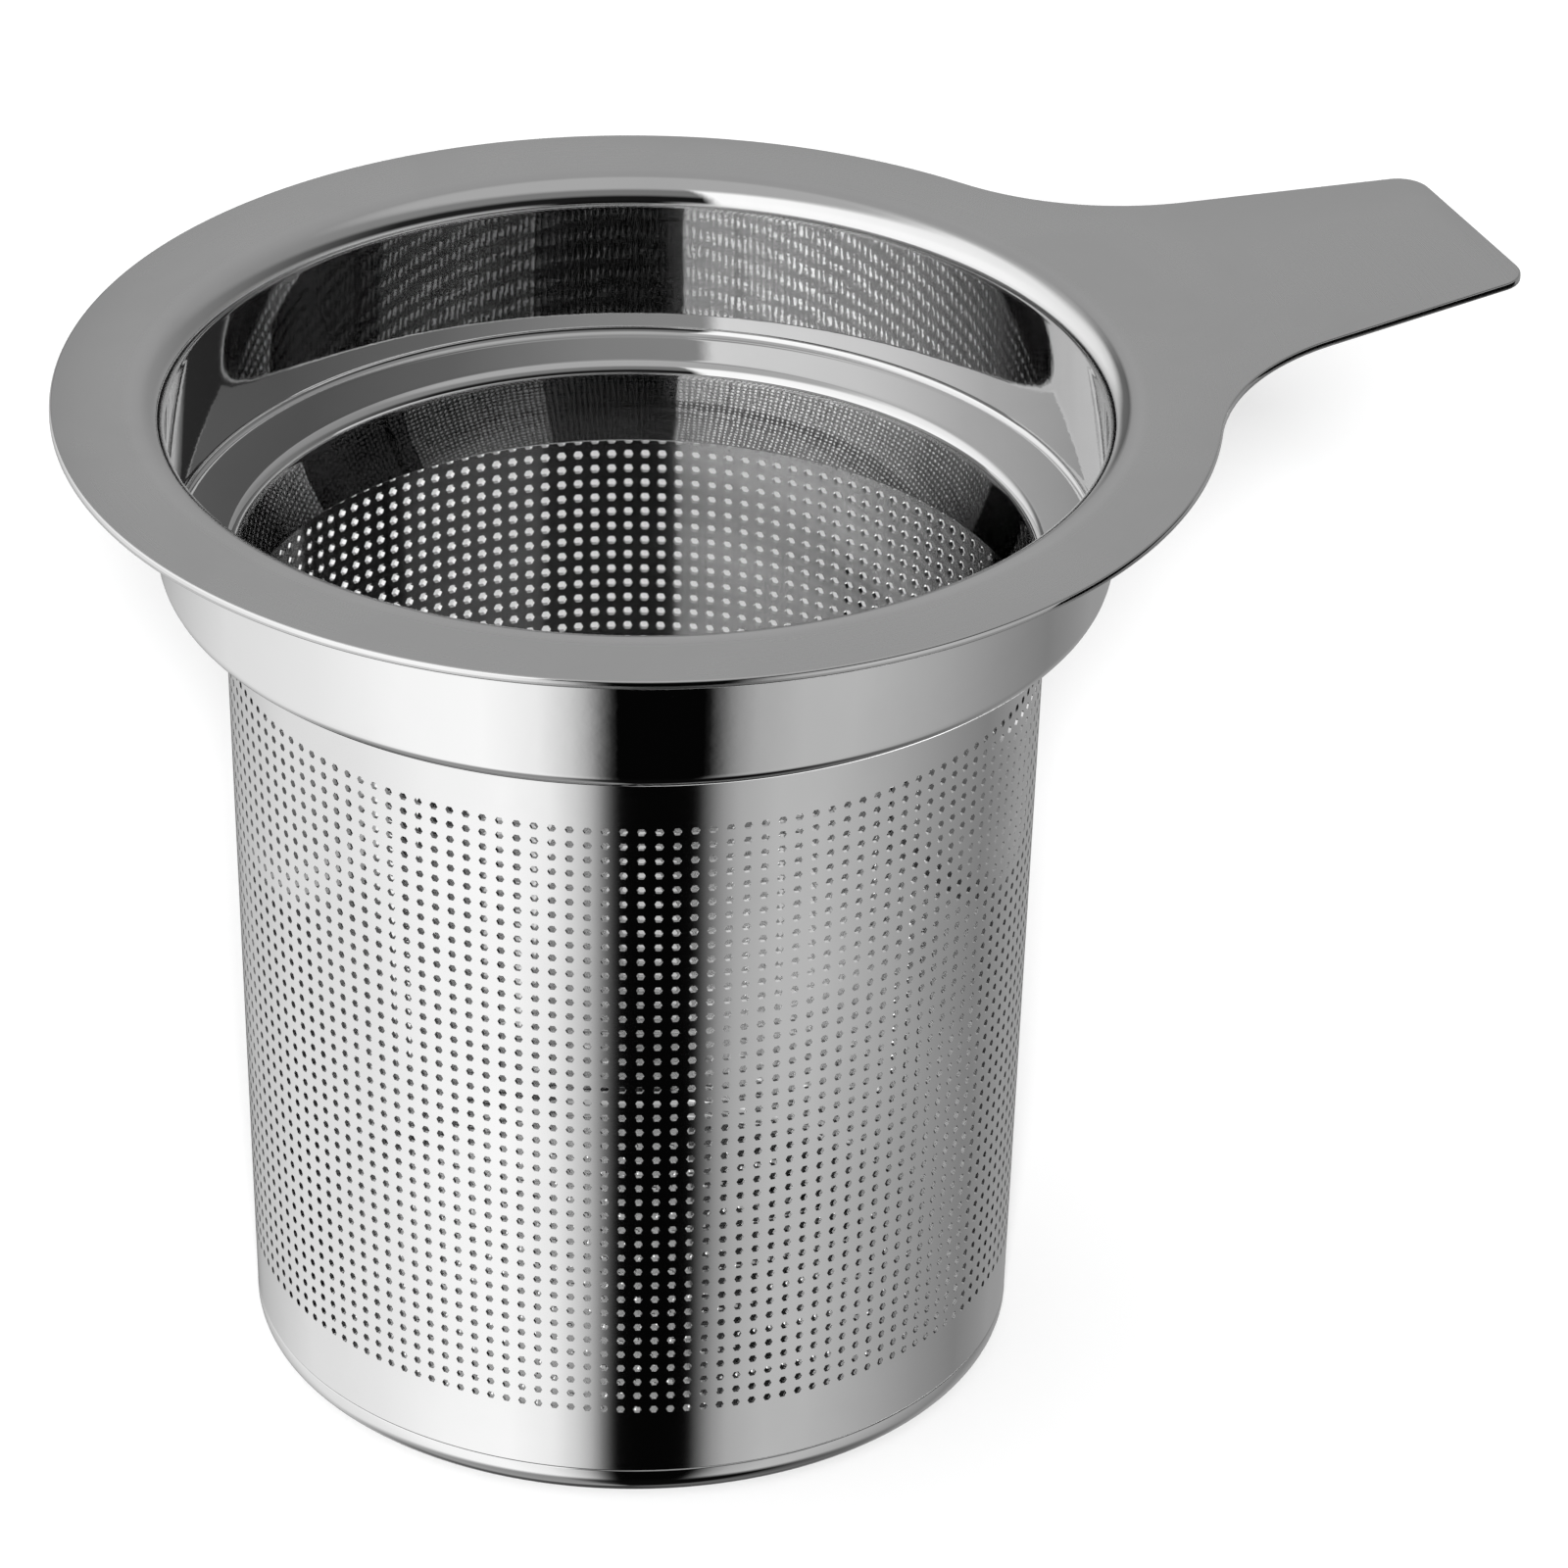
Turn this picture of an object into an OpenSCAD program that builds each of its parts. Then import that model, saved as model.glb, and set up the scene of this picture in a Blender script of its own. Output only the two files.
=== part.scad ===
// Basket tea strainer: a pressed rim with a flat handle tab, a perforated filter sleeve and a base cup.
// Origin: centre of the base's underside. +Z is up the axis, and +X runs along the handle.
// The sleeve and the base floor are plain sheet here: their fine holes are left out of the solids.

/* [Rim] */
// Height of the flange's top face above the base
rim_top = 69.8; // [66:0.1:90]
// Outer diameter of the flange
flange_d = 77.2; // [74:0.1:84]
// Outer diameter of the collar, the part that hangs in the mug
collar_d = 63.3; // [60:0.1:66]
// Thickness of the rim's sheet
rim_sheet = 0.6; // [0.4:0.05:0.8]
// Radius of the roll from the flange into the collar, on the face that shows
roll_r = 1.9; // [1.5:0.1:3.5]
// Height of the step's upper face above the base
shelf_top = 58.4; // [56:0.1:60]
// Outer radius of the rounded corner below the collar
step_r = 1.2; // [0.9:0.1:1.5]
// Radius of the bend from the step into the neck, on the face that shows
neck_bend_r = 1.0; // [0.9:0.1:1.2]
// Height of the neck's lower edge above the base
neck_bottom = 52.5; // [45:0.1:54]

/* [Handle] */
// Reach of the handle's tip from the axis
handle_reach = 62.1; // [55:0.1:75]
// Width of the handle's straight end
handle_tip_w = 16.5; // [12:0.1:20]
// Angle at which each side of the handle widens towards the rim
handle_taper = 9.6; // [4:0.1:14]
// Radius of the two corners at the tip
handle_corner_r = 2.2; // [1:0.1:4]
// Radius of the hollow fillets between the handle and the flange
handle_fillet_r = 18; // [10:0.5:22]

/* [Sleeve] */
// Thickness of the filter sheet
sleeve_sheet = 0.3; // [0.2:0.05:0.5]
// Outer diameter of the sleeve at its lower edge
sleeve_bottom_d = 51.2; // [46:0.1:51.6]
// Angle of the sleeve's wall to the axis
sleeve_taper = 1.81; // [1:0.01:2]
// Height of the sleeve's lower edge above the base
sleeve_bottom = 2.3; // [2.1:0.1:3]

/* [Base] */
// Thickness of the base's sheet
base_sheet = 0.4; // [0.3:0.05:0.5]
// Outer radius of the rounded corner under the base
base_corner_r = 1.9; // [1:0.1:2]
// Height of the joggle, where the wall steps in to go inside the sleeve
joggle_h = 0.5; // [0.4:0.1:0.9]
// Height of the top of the lip above the base
lip_top = 6.0; // [4:0.1:6.5]

/* [Hidden] */
$fn = 180;

flange_r = flange_d / 2;
collar_r = collar_d / 2;
rim_underside = rim_top - rim_sheet;
shelf_underside = shelf_top - rim_sheet;

// Radius of the sleeve's outer face at height z
function sleeve_r(z) = sleeve_bottom_d / 2 + (z - sleeve_bottom) * tan(sleeve_taper);
// Radius of its inner face, which the neck and the base's lip touch
function sleeve_bore_r(z) = sleeve_r(z) - sleeve_sheet;

// Centres of the rim's three bends, as [radius, height]
roll_c = [collar_r - rim_sheet + roll_r, rim_top - roll_r];
step_c = [collar_r - step_r, shelf_underside + step_r];
neck_top = shelf_top - neck_bend_r;
neck_c = [sleeve_bore_r(neck_top) - rim_sheet + neck_bend_r, neck_top];

// Handle: line of its side, as an outward normal and a distance from the axis
side_n = [sin(handle_taper), cos(handle_taper)];
side_dist = side_n * [handle_reach, handle_tip_w / 2];
// Centre of the hollow fillet, tangent to that line and to the flange's edge
fillet_turn = handle_taper + acos((side_dist + handle_fillet_r) / (flange_r + handle_fillet_r));
fillet_c = (flange_r + handle_fillet_r) * [sin(fillet_turn), cos(fillet_turn)];
fillet_on_flange = fillet_c * flange_r / (flange_r + handle_fillet_r);
fillet_on_side = fillet_c - handle_fillet_r * side_n;
// Centre of the tip's corner, tangent to that line and to the tip
corner_x = handle_reach - handle_corner_r;
corner_c = [corner_x, (side_dist - handle_corner_r - corner_x * side_n[0]) / side_n[1]];
corner_on_side = corner_c + handle_corner_r * side_n;

function flip_y(p) = [p[0], -p[1]];

// Quarter of a ring about centre c, cut from the quadrant that the signs sx and sz name
module bend(c, outer, inner, sx, sz) {
    translate(c)
        intersection() {
            difference() {
                circle(r = outer);
                circle(r = inner);
            }
            translate([sx < 0 ? -outer : 0, sz < 0 ? -outer : 0])
                square(outer);
        }
}

// Straight wall between two corners, as [radius, height]
module strip(low, high) {
    polygon([low, [high[0], low[1]], high, [low[0], high[1]]]);
}

// Wall that leans with the sleeve, inside it, from height z0 to z1
module leaning_wall(z0, z1, sheet) {
    polygon([
        [sleeve_bore_r(z0) - sheet, z0],
        [sleeve_bore_r(z0), z0],
        [sleeve_bore_r(z1), z1],
        [sleeve_bore_r(z1) - sheet, z1]
    ]);
}

// Collar, step and neck, from the roll down
module rim_profile() {
    bend(roll_c, roll_r, roll_r - rim_sheet, -1, 1);
    strip([collar_r - rim_sheet, step_c[1]], [collar_r, roll_c[1]]);
    bend(step_c, step_r, step_r - rim_sheet, 1, -1);
    strip([neck_c[0], shelf_underside], [step_c[0], shelf_top]);
    bend(neck_c, neck_bend_r, neck_bend_r - rim_sheet, -1, 1);
    leaning_wall(neck_bottom, neck_top, rim_sheet);
}

// Flat outline of the handle tab, before the flange is added
module handle_outline() {
    sides = [fillet_on_flange, fillet_on_side, corner_on_side, [handle_reach, corner_c[1]]];
    difference() {
        polygon(concat(sides, [for (i = [3:-1:0]) flip_y(sides[i])]));
        translate(fillet_c)
            circle(r = handle_fillet_r);
        translate(flip_y(fillet_c))
            circle(r = handle_fillet_r);
    }
    translate(corner_c)
        circle(r = handle_corner_r);
    translate(flip_y(corner_c))
        circle(r = handle_corner_r);
}

module rim_with_handle() {
    color([0.62, 0.62, 0.62])
        union() {
            translate([0, 0, rim_underside])
                linear_extrude(rim_sheet)
                    difference() {
                        union() {
                            circle(r = flange_r);
                            handle_outline();
                        }
                        circle(r = roll_c[0]);
                    }
            rotate_extrude()
                rim_profile();
        }
}

module filter_sleeve() {
    color([0.82, 0.82, 0.83])
        rotate_extrude()
            polygon([
                [sleeve_bore_r(sleeve_bottom), sleeve_bottom],
                [sleeve_r(sleeve_bottom), sleeve_bottom],
                [sleeve_r(neck_top), neck_top],
                [sleeve_bore_r(neck_top), neck_top]
            ]);
}

// Floor, rounded corner, short wall flush with the sleeve, joggle and lip
module base_cup() {
    wall_r = sleeve_r(sleeve_bottom);
    cup_corner_c = [wall_r - base_corner_r, base_corner_r];
    joggle_top = sleeve_bottom + joggle_h;
    color([0.78, 0.78, 0.79])
        rotate_extrude() {
            strip([0, 0], [cup_corner_c[0], base_sheet]);
            bend(cup_corner_c, base_corner_r, base_corner_r - base_sheet, 1, -1);
            polygon([
                [wall_r - base_sheet, base_corner_r],
                [wall_r, base_corner_r],
                [wall_r, sleeve_bottom],
                [sleeve_bore_r(sleeve_bottom), sleeve_bottom],
                [sleeve_bore_r(joggle_top), joggle_top],
                [sleeve_bore_r(joggle_top) - base_sheet, joggle_top],
                [sleeve_bore_r(sleeve_bottom) - base_sheet, sleeve_bottom]
            ]);
            leaning_wall(joggle_top, lip_top, base_sheet);
        }
}

rim_with_handle();
filter_sleeve();
base_cup();
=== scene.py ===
"""Basket tea strainer: pressed rim, perforated sleeve and base cup, with their steel, floor and light."""
import math

import bpy
from mathutils import Matrix, Vector


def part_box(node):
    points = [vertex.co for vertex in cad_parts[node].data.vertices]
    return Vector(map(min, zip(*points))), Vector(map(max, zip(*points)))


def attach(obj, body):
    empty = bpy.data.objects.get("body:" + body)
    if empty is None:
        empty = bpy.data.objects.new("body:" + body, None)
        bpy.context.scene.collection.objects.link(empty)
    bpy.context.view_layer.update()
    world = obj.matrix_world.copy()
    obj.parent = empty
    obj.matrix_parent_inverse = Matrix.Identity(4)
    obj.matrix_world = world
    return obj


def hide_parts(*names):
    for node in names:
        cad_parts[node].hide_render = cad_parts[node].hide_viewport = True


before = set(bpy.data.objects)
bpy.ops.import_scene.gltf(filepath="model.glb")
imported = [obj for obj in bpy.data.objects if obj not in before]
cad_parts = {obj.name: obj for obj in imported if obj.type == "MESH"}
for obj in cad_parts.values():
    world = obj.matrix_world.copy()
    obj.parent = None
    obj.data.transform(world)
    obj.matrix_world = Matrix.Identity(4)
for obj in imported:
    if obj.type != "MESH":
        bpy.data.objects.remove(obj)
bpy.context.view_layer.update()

MM = 0.001

# ---------------------------------------------------------------- sizes, from the frame where it states them
rim_low, rim_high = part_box("rim_with_handle")
sleeve_low, sleeve_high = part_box("filter_sleeve")
base_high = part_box("base_cup")[1]

RIM_TOP = rim_high[2]
FLANGE_R = -rim_low[0]
HANDLE_REACH = rim_high[0]
NECK_BOTTOM = rim_low[2]
SLEEVE_BOTTOM = sleeve_low[2]
SLEEVE_TOP = sleeve_high[2]
SLEEVE_TOP_R = sleeve_high[0]
BASE_R = base_high[0]
LIP_TOP = base_high[2]

RIM_SHEET = 0.6 * MM
SLEEVE_SHEET = 0.3 * MM
BASE_SHEET = 0.4 * MM

COLLAR_R = 31.05 * MM  # inner face of the collar
DISH_R = 34.1 * MM  # where the flange starts to dip towards the roll
DISH_TILT = 6.0  # degrees that it has dipped by where the roll starts
ROLL_R = 1.85 * MM
SHELF_TOP = 58.4 * MM
SHELF_FILLET = 0.6 * MM
NECK_BEND = 1.0 * MM

HANDLE_TIP_HALF = 8.25 * MM
HANDLE_TAPER = math.radians(9.6)
HANDLE_CORNER_R = 2.2 * MM
HANDLE_FILLET_R = 18 * MM
EDGE_ROUND = 0.16 * MM

HOLE_R = 0.295 * MM
HOLE_FLARE = 1.18  # how much wider a hole is at the inside of the sheet
HOLE_SIDES = 6
HOLE_ROWS = 42
HOLE_COLUMNS = 145
LOWEST_ROW = 7.28 * MM
HIGHEST_ROW = 52.33 * MM
SEAM_GAP = math.radians(5.38)  # plain strip between the last column and the first, for the weld

BASE_CORNER_R = 1.9 * MM
JOGGLE_H = 0.5 * MM  # height over which the wall steps in to go inside the sleeve
LIP_ROUND = 0.1 * MM
FLOOR_PITCH = 1.15 * MM
FLOOR_FIELD_R = 20.2 * MM
FLOOR_MARGIN = 1.4 * MM  # plain ring round the floor's holes

AROUND = 288  # steps of every full turn
SLEEVE_SLOPE = (SLEEVE_TOP_R - BASE_R) / (SLEEVE_TOP - SLEEVE_BOTTOM)


def sleeve_r(z):
    """Radius of the sleeve's outer face at height z."""
    return BASE_R + (z - SLEEVE_BOTTOM) * SLEEVE_SLOPE


# ---------------------------------------------------------------- modelling helpers
def edit(piece, mode="VERT"):
    """Opens the piece alone in edit mode, with nothing selected."""
    if bpy.context.mode != "OBJECT":
        bpy.ops.object.mode_set(mode="OBJECT")
    bpy.ops.object.select_all(action="DESELECT")
    piece.select_set(True)
    bpy.context.view_layer.objects.active = piece
    bpy.ops.object.mode_set(mode="EDIT")
    bpy.ops.mesh.select_mode(type=mode)
    bpy.ops.mesh.select_all(action="DESELECT")


def close_edit():
    bpy.ops.object.mode_set(mode="OBJECT")


def pick(piece, mode, test):
    """Selects the verts, edges or faces whose middle passes the test, and stays in edit mode."""
    edit(piece, mode)
    close_edit()
    mesh = piece.data
    kinds = {"VERT": mesh.vertices, "EDGE": mesh.edges, "FACE": mesh.polygons}
    for item in kinds[mode]:
        if mode == "VERT":
            middle = item.co
        elif mode == "FACE":
            middle = item.center
        else:
            middle = (mesh.vertices[item.vertices[0]].co + mesh.vertices[item.vertices[1]].co) / 2
        item.select = bool(test(middle))
    bpy.ops.object.mode_set(mode="EDIT")


def apply_modifier(piece, kind, **values):
    """Adds a modifier with these values and applies it at once."""
    bpy.ops.object.select_all(action="DESELECT")
    piece.select_set(True)
    bpy.context.view_layer.objects.active = piece
    modifier = piece.modifiers.new(kind.title(), kind)
    for name, value in values.items():
        setattr(modifier, name, value)
    bpy.ops.object.modifier_apply(modifier=modifier.name)


def repeat(piece, count, step):
    """Copies the piece's mesh along a straight line."""
    apply_modifier(piece, "ARRAY", count=count, use_relative_offset=False, use_constant_offset=True,
                   constant_offset_displace=step)


def join(pieces):
    """Joins the pieces into the first one."""
    bpy.ops.object.select_all(action="DESELECT")
    for piece in pieces:
        piece.select_set(True)
    bpy.context.view_layer.objects.active = pieces[0]
    bpy.ops.object.join()
    return pieces[0]


def merge_corners(piece, gap):
    """Makes one corner of those that lie closer together than the gap."""
    edit(piece)
    bpy.ops.mesh.select_all(action="SELECT")
    bpy.ops.mesh.remove_doubles(threshold=gap)
    close_edit()


def draw_chain(name, points, closed=False):
    """A chain of edges through the points, made by extruding one vertex from the next."""
    bpy.ops.object.select_all(action="DESELECT")
    bpy.ops.mesh.primitive_plane_add(size=MM, location=(0, 0, 0))
    piece = bpy.context.object
    piece.name = name
    edit(piece)
    bpy.ops.mesh.select_all(action="SELECT")
    bpy.ops.mesh.merge(type="CENTER")
    here = Vector(points[0])
    bpy.ops.transform.translate(value=here)
    for point in points[1:]:
        step = Vector(point) - here
        bpy.ops.mesh.extrude_region_move(TRANSFORM_OT_translate={"value": step})
        here = Vector(point)
    close_edit()
    if closed:
        merge_corners(piece, 0.001 * MM)
    return piece


def turn(piece):
    """Spins a profile in the XZ plane once round Z."""
    edit(piece)
    bpy.ops.mesh.select_all(action="SELECT")
    bpy.ops.mesh.spin(steps=AROUND, angle=2 * math.pi, center=(0, 0, 0), axis=(0, 0, 1))
    close_edit()
    merge_corners(piece, 0.002 * MM)


def face_out(piece):
    edit(piece, "FACE")
    bpy.ops.mesh.select_all(action="SELECT")
    bpy.ops.mesh.normals_make_consistent(inside=False)
    close_edit()


def smooth(piece):
    bpy.ops.object.select_all(action="DESELECT")
    piece.select_set(True)
    bpy.context.view_layer.objects.active = piece
    bpy.ops.object.shade_smooth_by_angle(angle=math.radians(35))


def arc(centre, radius, start, end, steps):
    """Points [across, up] on an arc, both ends included, with angles in degrees."""
    turns = [math.radians(start + (end - start) * i / steps) for i in range(steps + 1)]
    return [(centre[0] + radius * math.cos(t), centre[1] + radius * math.sin(t)) for t in turns]


# ---------------------------------------------------------------- rim: collar's bowl, then the flat plate
def bowl_line(depth):
    """Line of the collar and neck, depth below the face that shows, from the flange inwards."""
    tilt = math.radians(DISH_TILT)
    dish_r = (DISH_R - COLLAR_R - ROLL_R) / math.sin(tilt) + ROLL_R
    dish_end = RIM_TOP - dish_r * (1 - math.cos(tilt))
    roll_centre = (COLLAR_R + ROLL_R, dish_end - ROLL_R * math.cos(tilt))
    step_centre = (COLLAR_R - SHELF_FILLET, SHELF_TOP + SHELF_FILLET)
    neck_top = SHELF_TOP - NECK_BEND
    neck_r = sleeve_r(neck_top) - SLEEVE_SHEET - RIM_SHEET
    neck_centre = (neck_r + NECK_BEND, neck_top)
    line = arc((DISH_R, RIM_TOP - dish_r), dish_r - depth, 90, 90 + DISH_TILT, 5)
    line += arc(roll_centre, ROLL_R - depth, 90 + DISH_TILT, 180, 14)[1:]
    line += arc(step_centre, SHELF_FILLET + depth, 0, -90, 8)
    line += arc(neck_centre, NECK_BEND - depth, 90, 180, 10)
    end_r = sleeve_r(NECK_BOTTOM) - SLEEVE_SHEET - RIM_SHEET + depth
    line.append((end_r, NECK_BOTTOM + EDGE_ROUND))
    return line


def make_bowl():
    """The roll, collar, step and neck as one turned sheet, open at the flat plate's inner edge."""
    face = bowl_line(0)
    back = bowl_line(RIM_SHEET)
    inner, outer = face[-1][0], back[-1][0]
    lower_edge = arc((inner + EDGE_ROUND, NECK_BOTTOM + EDGE_ROUND), EDGE_ROUND, 180, 270, 4)[1:]
    lower_edge += arc((outer - EDGE_ROUND, NECK_BOTTOM + EDGE_ROUND), EDGE_ROUND, 270, 360, 4)[:-1]
    line = face + lower_edge + back[::-1]
    bowl = draw_chain("rim", [(r, 0, z) for r, z in line])
    turn(bowl)
    return bowl


def plate_outline():
    """Outline of the flange and its handle tab, anticlockwise from the tab's lower corner."""
    side = Vector((math.sin(HANDLE_TAPER), math.cos(HANDLE_TAPER)))
    side_distance = side.dot(Vector((HANDLE_REACH, HANDLE_TIP_HALF)))
    reach = FLANGE_R + HANDLE_FILLET_R
    swing = HANDLE_TAPER + math.acos((side_distance + HANDLE_FILLET_R) / reach)
    fillet = (reach * math.sin(swing), reach * math.cos(swing))
    corner_x = HANDLE_REACH - HANDLE_CORNER_R
    corner_y = (side_distance - HANDLE_CORNER_R - corner_x * side.x) / side.y
    taper = math.degrees(HANDLE_TAPER)
    meets_flange = 90 - math.degrees(swing)
    upper = arc((corner_x, corner_y), HANDLE_CORNER_R, 0, 90 - taper, 8)
    upper += arc(fillet, HANDLE_FILLET_R, 270 - taper, 180 + meets_flange, 20)
    flange = arc((0, 0), FLANGE_R, meets_flange, 360 - meets_flange, 232)[1:-1]
    lower = [(x, -y) for x, y in reversed(upper)]
    return upper + flange + lower


def make_plate():
    """The flat flange and handle as a bevelled rim wall, open above and below for its two faces."""
    outline = [(x, y, RIM_TOP) for x, y in plate_outline()]
    plate = draw_chain("plate", outline + outline[:1], closed=True)
    edit(plate, "EDGE")
    bpy.ops.mesh.select_all(action="SELECT")
    bpy.ops.mesh.edge_face_add()
    bpy.ops.mesh.extrude_region_move(TRANSFORM_OT_translate={"value": (0, 0, -RIM_SHEET)})
    rims = (RIM_TOP, RIM_TOP - RIM_SHEET)
    pick(plate, "EDGE", lambda m: min(abs(m.z - z) for z in rims) < 0.01 * MM)
    bpy.ops.mesh.bevel(offset=EDGE_ROUND, segments=4, profile=0.5, affect="EDGES", clamp_overlap=False)
    pick(plate, "FACE", lambda m: min(abs(m.z - z) for z in rims) < 0.001 * MM)
    bpy.ops.mesh.delete(type="ONLY_FACE")
    close_edit()
    return plate


def make_rim():
    rim = join([make_bowl(), make_plate()])
    rim.name = "rim"
    for level in (RIM_TOP, RIM_TOP - RIM_SHEET):
        pick(rim, "EDGE", lambda m: abs(m.z - level) < 0.0005 * MM and math.hypot(m.x, m.y) > DISH_R * 0.999)
        bpy.ops.mesh.fill(use_beauty=True)
        close_edit()
    merge_corners(rim, 0.002 * MM)
    face_out(rim)
    smooth(rim)
    return rim


# ---------------------------------------------------------------- sleeve: rolled perforated sheet
ROW_PITCH = (HIGHEST_ROW - LOWEST_ROW) / (HOLE_ROWS - 1)
SHEET_R = (BASE_R + SLEEVE_TOP_R) / 2  # radius at which the flat sheet keeps its width
COLUMN_PITCH = SHEET_R * (2 * math.pi - SEAM_GAP) / (HOLE_COLUMNS - 1)
SLEEVE_EDGE = 0.09 * MM
WELD_HALF = 0.5 * MM  # half the width of the weld bead down the seam
WELD_PROUD = ((0.22, 0.03), (0.28, 0.015), (0.28, -0.015), (0.22, -0.03))  # mm across, mm up, step by step


def fill_between(piece, corners):
    """Makes the edge or the face between the corners of a flat sheet at these places."""
    places = [Vector((x, y, 0)) for x, y in corners]
    pick(piece, "VERT", lambda v: any((v - place).length < 0.01 * MM for place in places))
    bpy.ops.mesh.edge_face_add()
    close_edit()


def make_sheet_cell():
    """One cell of the flat sheet: the bridge over a six-sided hole and the eight-sided web beside it."""
    bpy.ops.object.select_all(action="DESELECT")
    bpy.ops.mesh.primitive_circle_add(vertices=HOLE_SIDES, radius=HOLE_R, rotation=(0, 0, math.pi / 2))
    bpy.ops.object.transform_apply(rotation=True)
    cell = bpy.context.object
    cell.name = "sleeve"
    for step in ((COLUMN_PITCH, 0, 0), (0, ROW_PITCH, 0)):
        repeat(cell, 2, step)
    aside, up = HOLE_R / 2, HOLE_R * math.sin(math.pi / 3)
    next_x, next_y = COLUMN_PITCH, ROW_PITCH
    fill_between(cell, [(-aside, up), (aside, up), (aside, next_y - up), (-aside, next_y - up)])
    web_left = [(HOLE_R, 0), (aside, up), (aside, next_y - up), (HOLE_R, next_y)]
    web_right = [(next_x - x, y) for x, y in web_left]
    fill_between(cell, [web_left[0], web_right[0]])
    fill_between(cell, [web_left[3], web_right[3]])
    fill_between(cell, [web_right[1], web_right[2]])
    fill_between(cell, web_left + web_right)
    edit(cell)
    bpy.ops.mesh.select_all(action="SELECT")
    bpy.ops.mesh.delete_loose()
    close_edit()
    return cell


def flatten(piece, test, axis, level):
    """Brings the chosen corners of a flat sheet onto one straight line across the axis."""
    pick(piece, "VERT", test)
    scale = [0 if i == axis else 1 for i in range(3)]
    line = [level if i == axis else 0 for i in range(3)]
    bpy.ops.transform.resize(value=scale, center_override=line)
    close_edit()


def grow_edge(piece, axis, level, steps):
    """Extrudes the border on the line across the axis, step by step."""
    pick(piece, "EDGE", lambda m: abs(m[axis] - level) < 0.01 * MM)
    for step in steps:
        bpy.ops.mesh.extrude_region_move(TRANSFORM_OT_translate={"value": step})
    close_edit()


def roll_up(sheet, seam_x):
    """Rolls the flat sheet onto the cone, with the seam's middle under the handle."""
    for vert in sheet.data.vertices:
        turned = (vert.co.x - seam_x) / SHEET_R
        z = LOWEST_ROW + vert.co.y
        r = sleeve_r(z) + vert.co.z
        vert.co = (r * math.cos(turned), r * math.sin(turned), z)


def flare_holes(piece):
    """Widens each hole towards the inside of the sheet, as etching leaves it."""
    pitch = (2 * math.pi - SEAM_GAP) / (HOLE_COLUMNS - 1)
    for vert in piece.data.vertices:
        r = math.hypot(vert.co.x, vert.co.y)
        if sleeve_r(vert.co.z) - r < SLEEVE_SHEET / 2:
            continue
        turned = math.atan2(vert.co.y, vert.co.x) % (2 * math.pi)
        column = round((turned - SEAM_GAP / 2) / pitch)
        row = round((vert.co.z - LOWEST_ROW) / ROW_PITCH)
        aside = turned - SEAM_GAP / 2 - column * pitch
        above = vert.co.z - LOWEST_ROW - row * ROW_PITCH
        if math.hypot(aside * r, above) < HOLE_R * 1.1:
            turned += aside * (HOLE_FLARE - 1)
            z = vert.co.z + above * (HOLE_FLARE - 1)
            r = sleeve_r(z) - SLEEVE_SHEET
            vert.co = (r * math.cos(turned), r * math.sin(turned), z)


def wall_normals(piece):
    """Gives both faces of the sleeve the cone's own normal, so its shine runs on between the holes."""
    mesh = piece.data
    normals = [(0, 0, 0)] * len(mesh.loops)
    for face in mesh.polygons:
        for loop_index in face.loop_indices:
            place = mesh.vertices[mesh.loops[loop_index].vertex_index].co
            outward = Vector((place.x, place.y, -SLEEVE_SLOPE * math.hypot(place.x, place.y))).normalized()
            facing = face.normal.dot(outward)
            if abs(facing) > 0.995:
                normals[loop_index] = outward if facing > 0 else -outward
    mesh.normals_split_custom_set(normals)


def make_sleeve():
    """One sheet with holes in straight rows and columns, plain bands at its ends and a weld bead."""
    sheet = make_sheet_cell()
    repeat(sheet, HOLE_COLUMNS + 1, (COLUMN_PITCH, 0, 0))
    repeat(sheet, HOLE_ROWS + 1, (0, ROW_PITCH, 0))
    bpy.ops.object.mode_set(mode="EDIT")
    bpy.ops.mesh.select_all(action="SELECT")
    bpy.ops.transform.translate(value=(-COLUMN_PITCH, -ROW_PITCH, 0))
    close_edit()
    merge_corners(sheet, 0.005 * MM)
    pick(sheet, "FACE", lambda m: m.x < -0.9 * COLUMN_PITCH)
    bpy.ops.mesh.delete(type="FACE")
    close_edit()

    last_x = (HOLE_COLUMNS - 1) * COLUMN_PITCH
    last_y = (HOLE_ROWS - 1) * ROW_PITCH
    seam_x = -SEAM_GAP / 2 * SHEET_R
    left, right = seam_x + WELD_HALF, last_x - seam_x - WELD_HALF
    low, high = -ROW_PITCH / 2, last_y + ROW_PITCH / 2
    flatten(sheet, lambda v: v.x < -0.5 * COLUMN_PITCH, 0, left)
    flatten(sheet, lambda v: v.x > last_x + 0.5 * COLUMN_PITCH, 0, right)
    flatten(sheet, lambda v: v.y < low, 1, low)
    flatten(sheet, lambda v: v.y > high, 1, high)

    foot = SLEEVE_BOTTOM - LOWEST_ROW
    head = SLEEVE_TOP - LOWEST_ROW
    grow_edge(sheet, 1, low, [(0, foot + SLEEVE_EDGE - low, 0), (0, -SLEEVE_EDGE, -SLEEVE_EDGE / 2)])
    grow_edge(sheet, 1, high, [(0, head - high, 0)])
    grow_edge(sheet, 0, left, [(-across * MM, 0, up * MM) for across, up in WELD_PROUD])

    roll_up(sheet, seam_x)
    merge_corners(sheet, 0.005 * MM)
    face_out(sheet)
    apply_modifier(sheet, "SOLIDIFY", thickness=SLEEVE_SHEET, offset=-1, use_even_offset=True)
    flare_holes(sheet)
    smooth(sheet)
    wall_normals(sheet)
    return sheet


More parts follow.
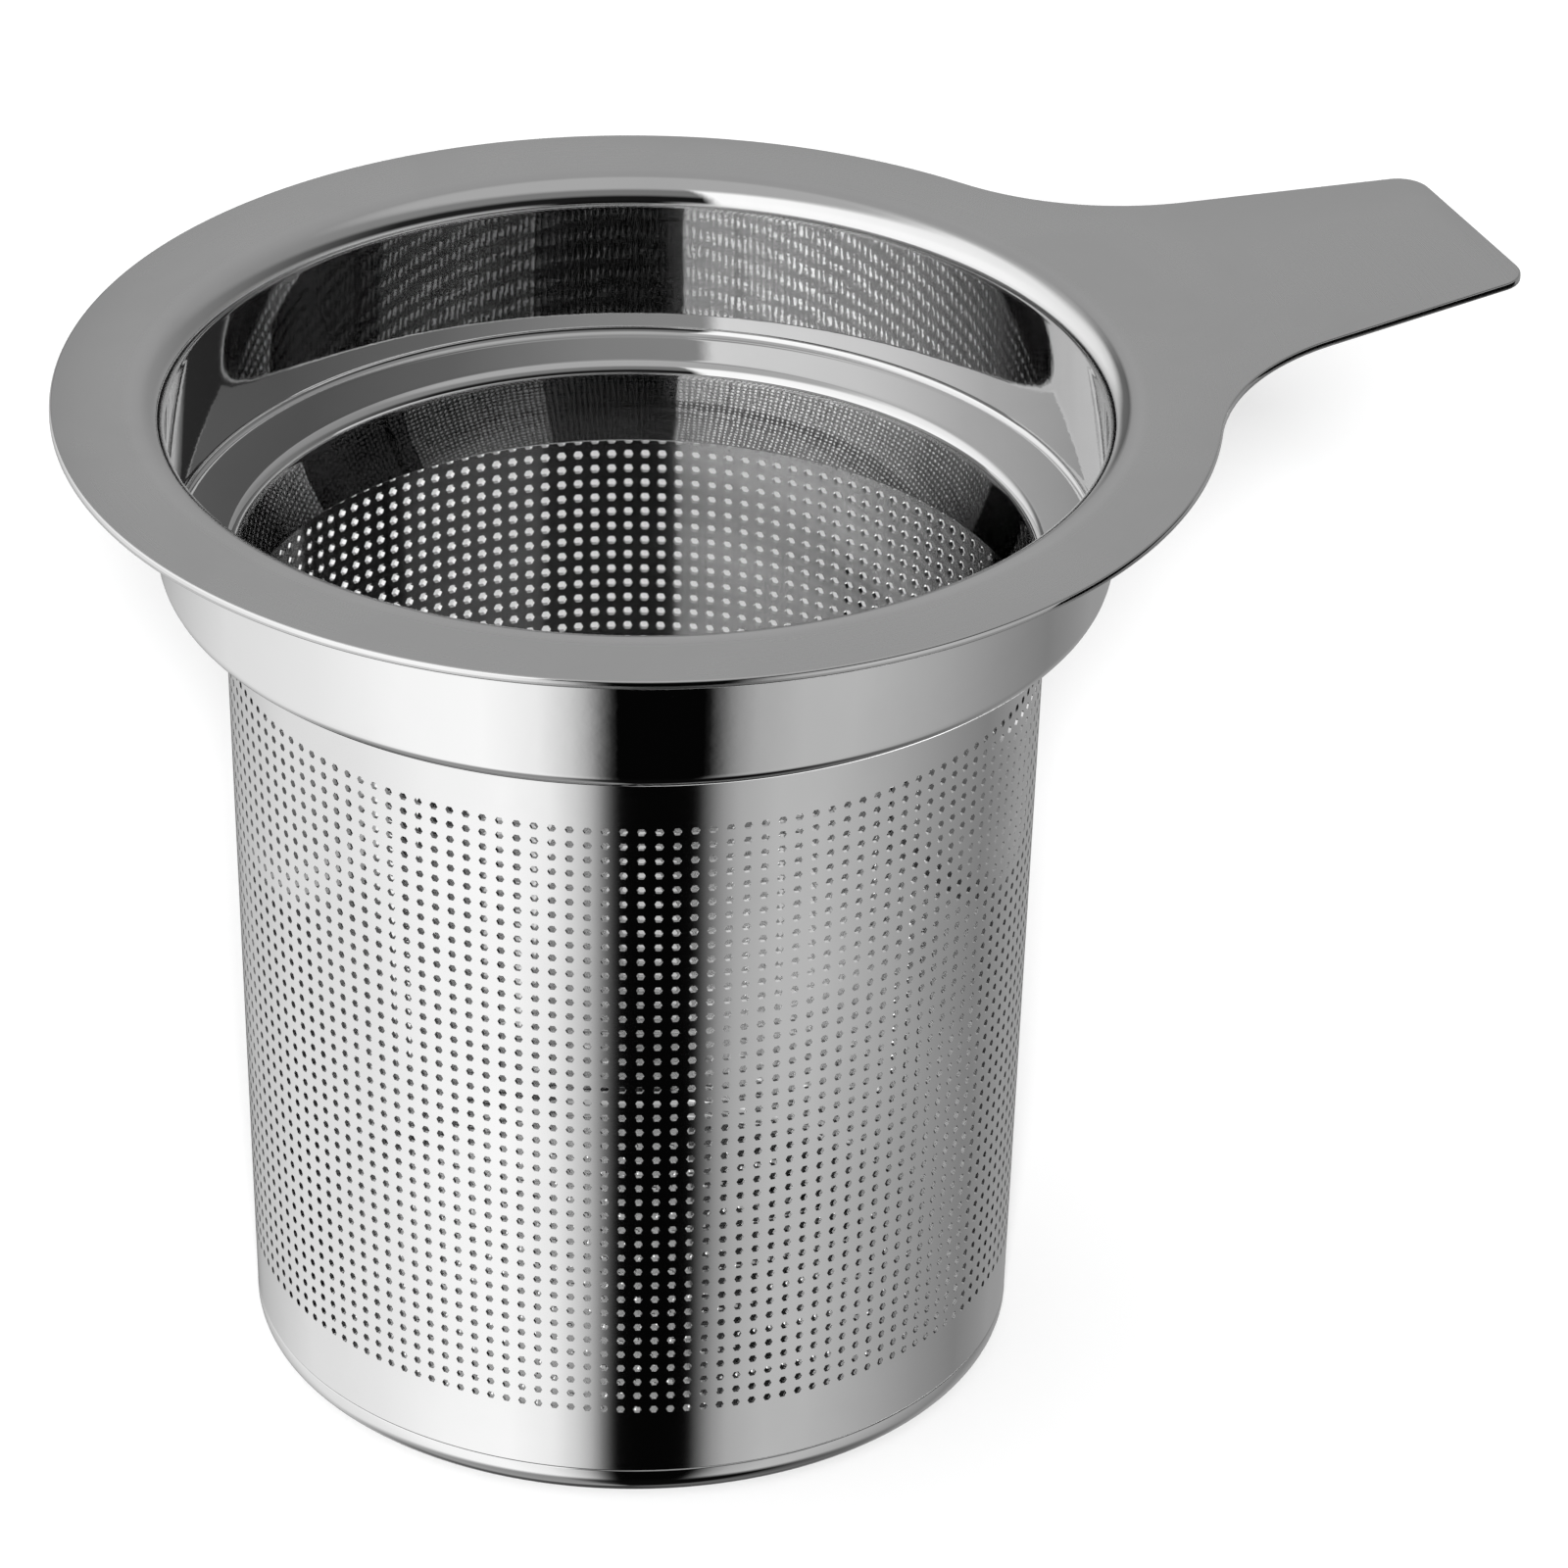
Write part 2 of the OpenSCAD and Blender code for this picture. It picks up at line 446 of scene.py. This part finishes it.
# ---------------------------------------------------------------- base cup
def make_base():
    """The stamped cup: rounded corner, wall flush with the sleeve, joggled lip and perforated floor."""
    def bore(z):
        return sleeve_r(z) - SLEEVE_SHEET

    joggle_top = SLEEVE_BOTTOM + JOGGLE_H
    floor_edge = FLOOR_FIELD_R + FLOOR_MARGIN
    corner = (BASE_R - BASE_CORNER_R, BASE_CORNER_R)
    outside = [(floor_edge, 0)]
    outside += arc(corner, BASE_CORNER_R, -90, 0, 12)
    outside += arc((BASE_R - SLEEVE_EDGE, SLEEVE_BOTTOM - SLEEVE_EDGE), SLEEVE_EDGE, 0, 90, 3)
    outside += [(bore(SLEEVE_BOTTOM), SLEEVE_BOTTOM), (bore(joggle_top), joggle_top)]
    outside += arc((bore(LIP_TOP) - LIP_ROUND, LIP_TOP - LIP_ROUND), LIP_ROUND, 0, 90, 3)
    inside = [(bore(LIP_TOP) - BASE_SHEET, LIP_TOP), (bore(joggle_top) - BASE_SHEET, joggle_top),
              (bore(SLEEVE_BOTTOM) - BASE_SHEET, SLEEVE_BOTTOM)]
    inside += arc(corner, BASE_CORNER_R - BASE_SHEET, 0, -90, 10)
    inside += [(floor_edge, BASE_SHEET)]
    cup = draw_chain("base", [(r, 0, z) for r, z in outside + inside])
    turn(cup)

    cells = 2 * int(FLOOR_FIELD_R / FLOOR_PITCH) + 1
    bpy.ops.object.select_all(action="DESELECT")
    bpy.ops.mesh.primitive_circle_add(vertices=HOLE_SIDES, radius=HOLE_R, location=(0, 0, 0))
    holes = bpy.context.object
    for step in ((FLOOR_PITCH, 0, 0), (0, FLOOR_PITCH, 0)):
        repeat(holes, cells, step)
    middle = (cells - 1) / 2

    def outside_field(p):
        cell = (round(p.x / FLOOR_PITCH) - middle, round(p.y / FLOOR_PITCH) - middle)
        return math.hypot(*cell) * FLOOR_PITCH > FLOOR_FIELD_R

    pick(holes, "VERT", outside_field)
    bpy.ops.mesh.delete(type="VERT")
    bpy.ops.mesh.select_all(action="SELECT")
    bpy.ops.transform.translate(value=(-middle * FLOOR_PITCH, -middle * FLOOR_PITCH, 0))
    close_edit()

    bpy.ops.object.select_all(action="DESELECT")
    bpy.ops.mesh.primitive_circle_add(vertices=AROUND, radius=floor_edge, location=(0, 0, 0))
    floor = join([bpy.context.object, holes])
    edit(floor, "EDGE")
    bpy.ops.mesh.select_all(action="SELECT")
    bpy.ops.mesh.fill(use_beauty=True)
    bpy.ops.mesh.select_all(action="SELECT")
    bpy.ops.mesh.extrude_region_move(TRANSFORM_OT_translate={"value": (0, 0, BASE_SHEET)})
    rim_wall = floor_edge * math.cos(math.pi / AROUND) - 0.01 * MM
    pick(floor, "FACE", lambda m: math.hypot(m.x, m.y) > rim_wall and 0.1 * MM < m.z < BASE_SHEET - 0.1 * MM)
    bpy.ops.mesh.delete(type="ONLY_FACE")
    bpy.ops.mesh.select_all(action="SELECT")
    bpy.ops.mesh.delete_loose(use_verts=False, use_edges=True, use_faces=False)
    close_edit()

    base = join([cup, floor])
    base.name = "base"
    merge_corners(base, 0.004 * MM)
    face_out(base)
    smooth(base)
    return base


rim = make_rim()
sleeve = make_sleeve()
base = make_base()

# ---------------------------------------------------------------- shading helpers
def node(tree, kind, inputs=None, **settings):
    """Adds a shader node; inputs maps its sockets to values or to other nodes' outputs."""
    new = tree.nodes.new(kind)
    for name, value in settings.items():
        setattr(new, name, value)
    for name, value in (inputs or {}).items():
        if isinstance(value, bpy.types.NodeSocket):
            tree.links.new(value, new.inputs[name])
        else:
            new.inputs[name].default_value = value
    return new


def calc(tree, operation, first, second=0.0):
    """Output of a Math node."""
    return node(tree, "ShaderNodeMath", {0: first, 1: second}, operation=operation).outputs[0]


def fade(tree, value, start, end, low=0.0, high=1.0):
    """Output that goes smoothly from low to high as the value goes from start to end."""
    inputs = {"Value": value, "From Min": start, "From Max": end, "To Min": low, "To Max": high}
    return node(tree, "ShaderNodeMapRange", inputs, interpolation_type="SMOOTHSTEP").outputs["Result"]


def new_group(name, inputs, outputs):
    """An empty shader node group with these float inputs and outputs; returns it with its two ends."""
    group = bpy.data.node_groups.new(name, "ShaderNodeTree")
    for label, value in inputs.items():
        socket = group.interface.new_socket(label, in_out="INPUT", socket_type="NodeSocketFloat")
        socket.default_value = value
    for label in outputs:
        group.interface.new_socket(label, in_out="OUTPUT", socket_type="NodeSocketFloat")
    return group, node(group, "NodeGroupInput").outputs, node(group, "NodeGroupOutput")


def finish_group(group, end, results):
    for label, output in results.items():
        group.links.new(output, end.inputs[label])


def use_group(tree, group):
    return node(tree, "ShaderNodeGroup", node_tree=group).outputs


def place(tree):
    """Object coordinates."""
    return node(tree, "ShaderNodeTexCoord").outputs["Object"]


def place_round_axis(tree):
    """Object coordinates as height, distance from Z and unit direction round Z."""
    axes = node(tree, "ShaderNodeSeparateXYZ", {0: place(tree)}).outputs
    flat = node(tree, "ShaderNodeCombineXYZ", {0: axes[0], 1: axes[1]}).outputs[0]
    radius = node(tree, "ShaderNodeVectorMath", {0: flat}, operation="LENGTH").outputs["Value"]
    bearing = node(tree, "ShaderNodeVectorMath", {0: flat}, operation="NORMALIZE").outputs["Vector"]
    return axes[2], radius, bearing


def normal_upward(tree):
    """The upward part of the surface's normal: 1 on a face that looks up, 0 on a wall."""
    normal = node(tree, "ShaderNodeNewGeometry").outputs["Normal"]
    return node(tree, "ShaderNodeSeparateXYZ", {0: normal}).outputs[2]


# ---------------------------------------------------------------- effects that the three steels share
def turned_polish():
    """Fine lines left by polishing on a lathe: they run round Z, on flat faces and on walls."""
    group, given, end = new_group("turned polish", {"Lines per mm": 4.0, "Streak": 2.2}, ["Height", "Shade"])
    height, radius, bearing = place_round_axis(group)
    fine = calc(group, "MULTIPLY", given["Lines per mm"], 1 / MM)
    across = calc(group, "MULTIPLY", radius, fine)
    up = calc(group, "MULTIPLY", height, fine)
    along = node(group, "ShaderNodeVectorMath", {0: bearing, "Scale": given["Streak"]}, operation="SCALE")
    lane = calc(group, "ADD", across, up)
    inputs = {"Vector": along.outputs[0], "W": lane, "Scale": 1.0, "Detail": 3.0}
    lines = node(group, "ShaderNodeTexNoise", inputs, noise_dimensions="4D").outputs["Fac"]
    finish_group(group, end, {"Height": lines, "Shade": fade(group, lines, 0.35, 0.65)})
    return group


def drawn_ripple():
    """Slow unevenness that deep drawing and rolling leave in bright sheet."""
    group, given, end = new_group("drawn ripple", {"Size mm": 3.0, "Fine size mm": 0.9, "Fine share": 0.4},
                                  ["Height"])
    here = place(group)
    layers = []
    for label, detail in (("Size mm", 1.0), ("Fine size mm", 2.0)):
        scale = calc(group, "DIVIDE", 1 / MM, given[label])
        layers.append(node(group, "ShaderNodeTexNoise", {"Vector": here, "Scale": scale, "Detail": detail}))
    fine = calc(group, "MULTIPLY", layers[1].outputs["Fac"], given["Fine share"])
    finish_group(group, end, {"Height": calc(group, "ADD", layers[0].outputs["Fac"], fine)})
    return group


def handling_marks():
    """Faint wipe smears and a few pin-prick specks."""
    group, given, end = new_group("handling marks", {"Smear mm": 14.0, "Speck mm": 2.4}, ["Smear", "Speck"])
    here = place(group)
    smear_scale = calc(group, "DIVIDE", 1 / MM, given["Smear mm"])
    inputs = {"Vector": here, "Scale": smear_scale, "Detail": 4.0, "Roughness": 0.6, "Distortion": 0.6}
    smear = node(group, "ShaderNodeTexNoise", inputs).outputs["Fac"]
    speck_scale = calc(group, "DIVIDE", 1 / MM, given["Speck mm"])
    cells = node(group, "ShaderNodeTexVoronoi", {"Vector": here, "Scale": speck_scale}).outputs
    chance = node(group, "ShaderNodeSeparateColor", {0: cells["Color"]}).outputs[0]
    chosen = fade(group, chance, 0.95, 0.97)
    dot = fade(group, cells["Distance"], 0.05, 0.03)
    finish_group(group, end, {"Smear": fade(group, smear, 0.38, 0.66),
                              "Speck": calc(group, "MULTIPLY", chosen, dot)})
    return group


def sheared_edge():
    """Mask of a blanked sheet's cut edge: 1 on the torn lower half of the wall round the flat plate."""
    inputs = {"Top": RIM_TOP, "Sheet": RIM_SHEET, "Start": FLANGE_R - MM}
    group, given, end = new_group("sheared edge", inputs, ["Torn"])
    height, radius = place_round_axis(group)[:2]
    upright = fade(group, calc(group, "ABSOLUTE", normal_upward(group)), 0.6, 0.3)
    outside = fade(group, calc(group, "SUBTRACT", radius, given["Start"]), 0, 0.5 * MM)
    cut = calc(group, "MULTIPLY", upright, outside)
    down = calc(group, "DIVIDE", calc(group, "SUBTRACT", given["Top"], height), given["Sheet"])
    finish_group(group, end, {"Torn": calc(group, "MULTIPLY", cut, fade(group, down, 0.45, 0.6))})
    return group


POLISH = turned_polish()
RIPPLE = drawn_ripple()
MARKS = handling_marks()
CUT_EDGE = sheared_edge()


# ---------------------------------------------------------------- steels
STEEL = 0.66  # how much light bare bright steel gives back
SATIN_RUN = 1.2 * MM  # width over which the bright roll turns to satin
SMEAR_ROUGH, SMEAR_DULL = 0.012, 0.02  # what a smear adds to the roughness and takes from the brightness
LINE_ROUGH = 0.008  # what a polishing line adds to the roughness
SPECK_DULL = 0.12
TORN_ROUGH, TORN_DULL = 0.25, 0.3


def blend(tree, factor, first, second):
    """Value that goes from first to second as the factor goes from 0 to 1."""
    return node(tree, "ShaderNodeMix", {"Factor": factor, "A": first, "B": second}).outputs["Result"]


def steel(name, finish_rough, polish_depth, ripple_depth, satin_from=None, satin_rough=None, edge=False):
    """Bright stainless steel; past the radius satin_from, faces that look up are satin."""
    material = bpy.data.materials.new(name)
    material.use_nodes = True
    tree = material.node_tree
    tree.nodes.clear()
    polish = use_group(tree, POLISH)
    ripple = use_group(tree, RIPPLE)
    marks = use_group(tree, MARKS)

    rough = finish_rough
    if satin_from:
        radius = place_round_axis(tree)[1]
        outside = fade(tree, radius, satin_from, satin_from + SATIN_RUN)
        satin = calc(tree, "MULTIPLY", outside, fade(tree, normal_upward(tree), 0.5, 0.9))
        rough = blend(tree, satin, finish_rough, satin_rough)
    rough = calc(tree, "ADD", rough, calc(tree, "MULTIPLY", marks["Smear"], SMEAR_ROUGH))
    rough = calc(tree, "ADD", rough, calc(tree, "MULTIPLY", polish["Shade"], LINE_ROUGH))
    bright = calc(tree, "SUBTRACT", STEEL, calc(tree, "MULTIPLY", marks["Smear"], SMEAR_DULL))
    bright = calc(tree, "SUBTRACT", bright, calc(tree, "MULTIPLY", marks["Speck"], SPECK_DULL))
    if edge:
        torn = use_group(tree, CUT_EDGE)["Torn"]
        kept = calc(tree, "SUBTRACT", 1.0, calc(tree, "MULTIPLY", torn, TORN_DULL))
        bright = calc(tree, "MULTIPLY", bright, kept)
        rough = calc(tree, "ADD", rough, calc(tree, "MULTIPLY", torn, TORN_ROUGH))
    colour = node(tree, "ShaderNodeCombineColor", {0: bright, 1: bright, 2: bright}).outputs[0]
    inputs = {"Height": ripple["Height"], "Distance": ripple_depth, "Strength": 1.0}
    waves = node(tree, "ShaderNodeBump", inputs).outputs[0]
    inputs = {"Height": polish["Height"], "Distance": polish_depth, "Strength": 1.0, "Normal": waves}
    lines = node(tree, "ShaderNodeBump", inputs).outputs[0]
    inputs = {"Base Color": colour, "Metallic": 1.0, "Roughness": rough, "Normal": lines}
    shader = node(tree, "ShaderNodeBsdfPrincipled", inputs)
    node(tree, "ShaderNodeOutputMaterial", {"Surface": shader.outputs[0]})
    return material


def dress(piece, material):
    piece.data.materials.clear()
    piece.data.materials.append(material)


dress(rim, steel("rim_steel", 0.025, 0.0001 * MM, 0.005 * MM,
                 satin_from=COLLAR_R + ROLL_R - 0.2 * MM, satin_rough=0.27, edge=True))
dress(sleeve, steel("sleeve_steel", 0.075, 0.0002 * MM, 0.0015 * MM))
dress(base, steel("base_steel", 0.06, 0.0002 * MM, 0.0015 * MM))

for piece, cad_node, slot in ((rim, "rim_with_handle", "rim_steel"),
                              (sleeve, "filter_sleeve", "sleeve_steel"),
                              (base, "base_cup", "base_steel")):
    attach(piece, "root")
    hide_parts(cad_node)


# ---------------------------------------------------------------- studio
CAMERA_BEARING = math.radians(-114.5)  # where the camera stands, round Z from the handle
CAMERA_REACH = 664.7 * MM
CAMERA_HEIGHT = 419.0 * MM
CAMERA_TURN = (math.radians(-25.363), math.radians(60.347), math.radians(0.803))  # swing, tilt, roll
LENS = 262.1
FLOOR_SIZE = 6
FLOOR_LEVEL = -0.05 * MM
FILL = 0.6  # even light on the floor
KEY = 4.0  # light from the front on the floor
KEY_HEIGHT = 30  # degrees over the horizon
KEY_SIZE = 10  # degrees across, which softens the shadow
FLAG_PLACE = (74 * MM, -34 * MM, 54 * MM)
FLAG_SIZE = (62 * MM, 24 * MM, 1)
FLAG_SWING = math.radians(44)
# grey gels inside: radius, lowest and highest in mm, arc in degrees from the camera towards the handle's
# side, and the share of the light that comes through
GELS = ((25.2, 6.2, 51.5, -17, 40, 0.12), (25.2, 6.2, 51.5, 40, 106, 0.34),
        (25.2, 6.2, 51.5, 106, 170, 0.12), (24.3, 1.3, 6.2, -17, 170, 0.2))

# Brightness of the screens round the strainer, by degrees from the camera towards the handle's side: a tall
# white screen to the left, a narrow black gap, and a softer grey screen to the right.
LOW_SCREENS = ((-180, 0.12), (-172, 0.30), (-160, 0.55), (-118, 1.05), (-85, 1.18), (-60, 1.38), (-38, 1.42),
               (-24, 1.25), (-16, 0.90), (-12, 0.62), (-8, 0.18), (-5, 0.002), (18, 0.002), (20.5, 0.12),
               (25, 0.40), (30, 0.58), (42, 0.70), (55, 0.70), (80, 0.54), (100, 0.40), (120, 0.30),
               (145, 0.40), (170, 0.36), (180, 0.12))
HIGH_SCREENS = ((-180, 0.48), (-172, 0.42), (-166, 0.16), (-157, 0.20), (-148, 0.9), (-140, 1.1),
                (-100, 1.4), (-19, 1.5), (-16, 0.01), (60, 0.02), (110, 0.23), (160, 0.36), (180, 0.46))
UPPER_SCREENS = ((-180, 0.44), (-165, 0.46), (-150, 0.6), (-130, 1.2), (-19, 1.5), (-16, 0.25), (60, 0.30),
                 (180, 0.44))
GROUND_SCREENS = ((-180, 0.06), (-150, 0.10), (-110, 0.45), (-30, 0.36), (-14, 0.05), (-6, 0.004),
                  (60, 0.004), (85, 0.12), (130, 0.20), (180, 0.06))
# Set for the inside of the basket, where light is reflected again and again: what takes the screens' place
# for light that the steel has reflected twice, low and high, and three times.
INSIDE_LOW = ((-180, 0.03), (-4, 0.03), (4, 1.2), (50, 2.6), (90, 2.9), (160, 2.6), (166, 0.05), (180, 0.03))
INSIDE_HIGH = ((-180, 0.3), (-140, 0.6), (-94, 0.85), (-60, 1.25), (-20, 1.45), (-16, 0.50), (12, 0.46),
               (50, 0.25), (95, 0.175), (180, 0.2))
INSIDE_THIRD = ((-180, 1.0), (-93, 1.4), (-12, 1.4), (-6, 0.3), (40, 0.06), (110, 0.06), (130, 0.9),
                (180, 1.0))
DEEPEST = (1.15, 0.2)  # brightness all round after four reflections, and after seven
ZENITH = 0.58
BRIGHTEST = 3.0
# heights over the horizon, in degrees, at which one band of screens gives way to the next
GROUND_TO_LOW = (-62, -46)
LOW_TO_HIGH = (0, 14)
HIGH_TO_UPPER = (26, 40)
UPPER_TO_ZENITH = (52, 68)


def even_light(value):
    return (value / BRIGHTEST,) * 3 + (1,)


def screen_ramp(tree, turn, screens):
    """Brightness round the horizon from a list of bearings and values."""
    ramp = node(tree, "ShaderNodeValToRGB", {"Fac": turn})
    stops = ramp.color_ramp.elements
    while len(stops) > 1:
        stops.remove(stops[-1])
    for index, (bearing, value) in enumerate(screens):
        position = 0.5 + bearing / 360
        stop = stops[0] if index == 0 else stops.new(position)
        stop.position = position
        stop.color = even_light(value)
    return ramp.outputs["Color"]


def mix_light(tree, factor, first, second):
    mixed = node(tree, "ShaderNodeMix", {"Factor": factor}, data_type="RGBA")
    for socket, value in ((mixed.inputs[6], first), (mixed.inputs[7], second)):
        if isinstance(value, bpy.types.NodeSocket):
            tree.links.new(value, socket)
        else:
            socket.default_value = value
    return mixed.outputs[2]


def rise(tree, height, start, end):
    """Goes from 0 to 1 as the line of sight climbs from start to end, in degrees over the horizon."""
    return fade(tree, height, math.sin(math.radians(start)), math.sin(math.radians(end)))


def reflected(tree, times):
    """1 for light that has been reflected this many times or more on its way to the eye, 0 for less."""
    depth = node(tree, "ShaderNodeLightPath").outputs["Glossy Depth"]
    return fade(tree, depth, times - 0.8, times - 0.2)


def light_studio():
    """Screens that only the steel sees, and an even light for the floor."""
    world = bpy.data.worlds.new("studio")
    bpy.context.scene.world = world
    world.use_nodes = True
    tree = world.node_tree
    tree.nodes.clear()
    way = node(tree, "ShaderNodeTexCoord").outputs["Generated"]
    turned = node(tree, "ShaderNodeVectorRotate", {"Vector": way, "Angle": -CAMERA_BEARING},
                  rotation_type="Z_AXIS").outputs[0]
    turn = node(tree, "ShaderNodeTexGradient", {"Vector": turned}, gradient_type="RADIAL").outputs["Fac"]
    height = node(tree, "ShaderNodeSeparateXYZ", {0: way}).outputs[2]
    low, high, upper, ground = [screen_ramp(tree, turn, screens) for screens in
                                (LOW_SCREENS, HIGH_SCREENS, UPPER_SCREENS, GROUND_SCREENS)]
    inside_low, inside_high, inside_third = [screen_ramp(tree, turn, screens) for screens in
                                             (INSIDE_LOW, INSIDE_HIGH, INSIDE_THIRD)]
    twice = reflected(tree, 2)
    low = mix_light(tree, twice, low, inside_low)
    high = mix_light(tree, twice, high, inside_high)
    upper = mix_light(tree, twice, upper, inside_high)
    seen = mix_light(tree, rise(tree, height, *LOW_TO_HIGH), low, high)
    seen = mix_light(tree, rise(tree, height, *HIGH_TO_UPPER), seen, upper)
    seen = mix_light(tree, rise(tree, height, *UPPER_TO_ZENITH), seen, even_light(ZENITH))
    seen = mix_light(tree, rise(tree, height, *GROUND_TO_LOW), ground, seen)
    seen = mix_light(tree, reflected(tree, 3), seen, inside_third)
    path = node(tree, "ShaderNodeLightPath").outputs
    start, end = [value / BRIGHTEST for value in DEEPEST]
    dim = fade(tree, path["Glossy Depth"], 4.2, 6.8, start, end)
    deepest = node(tree, "ShaderNodeCombineColor", {0: dim, 1: dim, 2: dim}).outputs[0]
    seen = mix_light(tree, reflected(tree, 4), seen, deepest)
    mirrored = node(tree, "ShaderNodeBackground", {"Color": seen, "Strength": BRIGHTEST}).outputs[0]
    plain = node(tree, "ShaderNodeBackground", {"Color": (1, 1, 1, 1), "Strength": FILL}).outputs[0]
    both = node(tree, "ShaderNodeMixShader", {0: path["Is Glossy Ray"], 1: plain, 2: mirrored})
    node(tree, "ShaderNodeOutputWorld", {"Surface": both.outputs[0]})


def matte(name, grey):
    material = bpy.data.materials.new(name)
    material.use_nodes = True
    shader = material.node_tree.nodes["Principled BSDF"]
    shader.inputs["Base Color"].default_value = (grey, grey, grey, 1)
    shader.inputs["Roughness"].default_value = 1.0
    shader.inputs["Specular IOR Level"].default_value = 0.0
    return material


def show_only_in_steel(piece):
    """Leaves a stage piece to be seen in reflections alone."""
    for way in ("visible_camera", "visible_diffuse", "visible_shadow", "visible_transmission"):
        setattr(piece, way, False)


def lay_floor():
    bpy.ops.object.select_all(action="DESELECT")
    bpy.ops.mesh.primitive_plane_add(size=FLOOR_SIZE, location=(0, 0, FLOOR_LEVEL))
    floor = bpy.context.object
    floor.name = "floor"
    floor.visible_glossy = False
    dress(floor, matte("floor_paper", 0.93))


def set_camera():
    camera = bpy.data.objects.new("camera", bpy.data.cameras.new("camera"))
    bpy.context.collection.objects.link(camera)
    camera.data.lens = LENS
    camera.data.sensor_width = 36
    camera.data.clip_end = 10
    swing, tilt, roll = CAMERA_TURN
    east, north = math.cos(CAMERA_BEARING), math.sin(CAMERA_BEARING)
    stand = Vector((CAMERA_REACH * east, CAMERA_REACH * north, CAMERA_HEIGHT))
    aim = Matrix.Rotation(swing, 4, "Z") @ Matrix.Rotation(tilt, 4, "X") @ Matrix.Rotation(roll, 4, "Z")
    camera.matrix_world = Matrix.Translation(stand) @ aim
    bpy.context.scene.camera = camera


def light_front():
    """Soft key light from over the camera, for the floor only, so that the shadow falls behind."""
    key = bpy.data.objects.new("key", bpy.data.lights.new("key", "SUN"))
    bpy.context.collection.objects.link(key)
    key.data.energy = KEY
    key.data.angle = math.radians(KEY_SIZE)
    key.visible_glossy = False
    key.rotation_euler = (math.radians(90 - KEY_HEIGHT), 0, CAMERA_BEARING + math.radians(90))


def hang_flag():
    """Small black flag by the handle, seen only in the steel: it darkens the handle's near edge."""
    bpy.ops.object.select_all(action="DESELECT")
    bpy.ops.mesh.primitive_plane_add(size=1, location=FLAG_PLACE, rotation=(math.radians(90), 0, FLAG_SWING))
    flag = bpy.context.object
    flag.name = "flag"
    flag.scale = FLAG_SIZE
    dress(flag, matte("flag_black", 0.005))
    show_only_in_steel(flag)


def hang_gel(radius, low, high, start, end, passes):
    """Curved grey gel before the sleeve's inner wall: it dims that wall as the wall across reflects it."""
    bpy.ops.object.select_all(action="DESELECT")
    bpy.ops.mesh.primitive_cylinder_add(vertices=180, radius=radius * MM, depth=(high - low) * MM,
                                        end_fill_type="NOTHING", location=(0, 0, (low + high) / 2 * MM))
    gel = bpy.context.object
    gel.name = "gel"
    bpy.ops.object.transform_apply(location=True)

    def off_arc(m):
        turned = math.degrees(math.atan2(m.y, m.x) - CAMERA_BEARING - math.radians(start)) % 360
        return turned > end - start

    pick(gel, "FACE", off_arc)
    bpy.ops.mesh.delete(type="FACE")
    close_edit()
    material = bpy.data.materials.new("gel_grey")
    material.use_nodes = True
    tree = material.node_tree
    tree.nodes.clear()
    inner_face = node(tree, "ShaderNodeNewGeometry").outputs["Backfacing"]
    once = calc(tree, "SUBTRACT", 1.0, reflected(tree, 2))
    passed = fade(tree, calc(tree, "MULTIPLY", inner_face, once), 0, 1, 1.0, passes)
    colour = node(tree, "ShaderNodeCombineColor", {0: passed, 1: passed, 2: passed}).outputs[0]
    clear = node(tree, "ShaderNodeBsdfTransparent", {"Color": colour})
    node(tree, "ShaderNodeOutputMaterial", {"Surface": clear.outputs[0]})
    dress(gel, material)
    show_only_in_steel(gel)


light_studio()
light_front()
hang_flag()
for gel_sizes in GELS:
    hang_gel(*gel_sizes)
lay_floor()
set_camera()
bpy.context.scene.view_settings.view_transform = "Standard"
bpy.context.scene.cycles.glossy_bounces = 10
bpy.context.scene.cycles.max_bounces = 14
